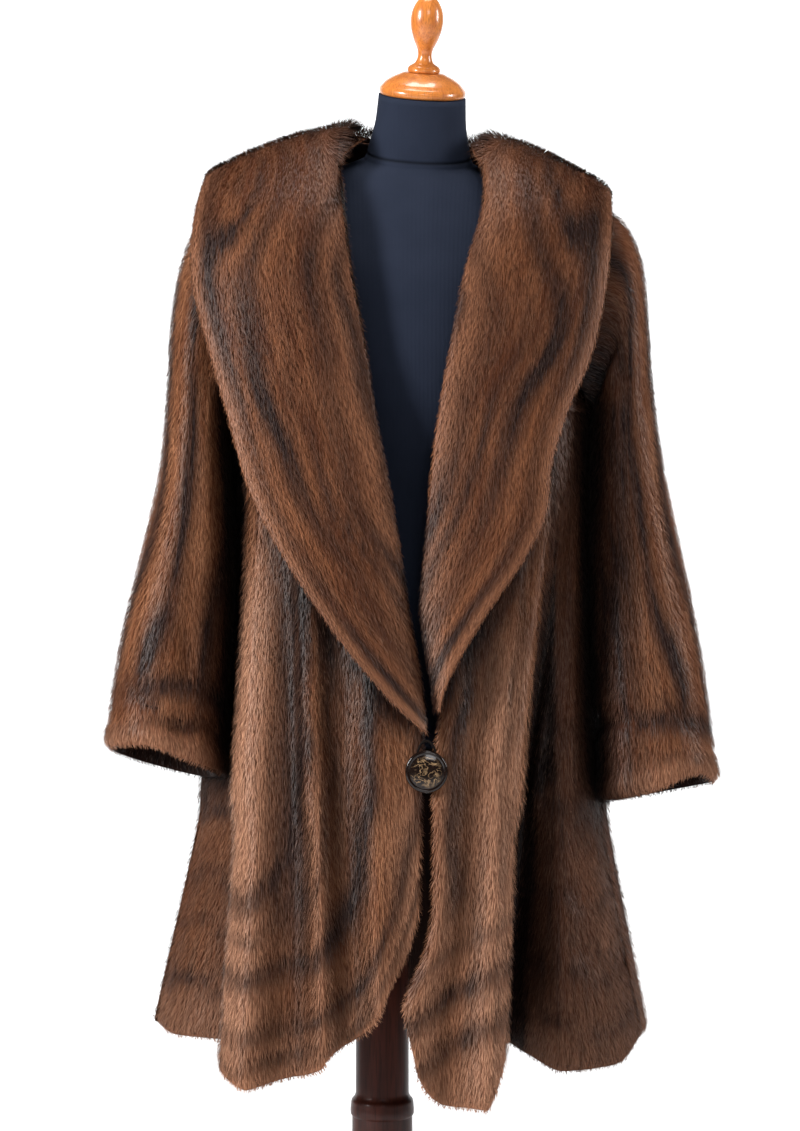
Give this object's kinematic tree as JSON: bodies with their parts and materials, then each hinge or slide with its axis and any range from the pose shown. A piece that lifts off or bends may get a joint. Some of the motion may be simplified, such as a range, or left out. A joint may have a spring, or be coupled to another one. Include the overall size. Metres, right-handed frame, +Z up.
{
  "type": "fur coat on a dress form",
  "caption": "Fur swing coat with a wide shawl collar and a large button, on a limbless dress form with a turned pole and base.",
  "frame": {"origin": "centre of the base's underside, on the pole's axis, at floor level", "axes": "+Z up along the pole, -Y the way the coat faces, +X the wearer's left"},
  "size_m": [0.682, 0.4761, 1.593],
  "materials": {
    "fur": "long soft brown fur",
    "collar fur": "long soft brown fur, a little lighter",
    "dark fur": "dark brown fur in shade",
    "jersey": "matt knitted jersey",
    "light wood": "clear lacquered",
    "dark wood": "stained and polished",
    "marbled resin": "polished, marbled in bronze",
    "cord": "dull cord",
    "plate": "satin black"
  },
  "bodies": {
    "root": {"back": "fur", "front_left": "fur", "front_right": "fur", "sleeve_left": "fur", "sleeve_right": "fur", "cuff_facing_left": "dark fur", "cuff_facing_right": "dark fur", "collar_left": "collar fur", "collar_right": "collar fur", "button": "marbled resin", "button_loop": "cord", "torso": "jersey", "neck_cap": "light wood", "finial": "light wood", "pole": "dark wood", "pole_socket": "plate", "base": "dark wood"}
  },
  "joints": []
}
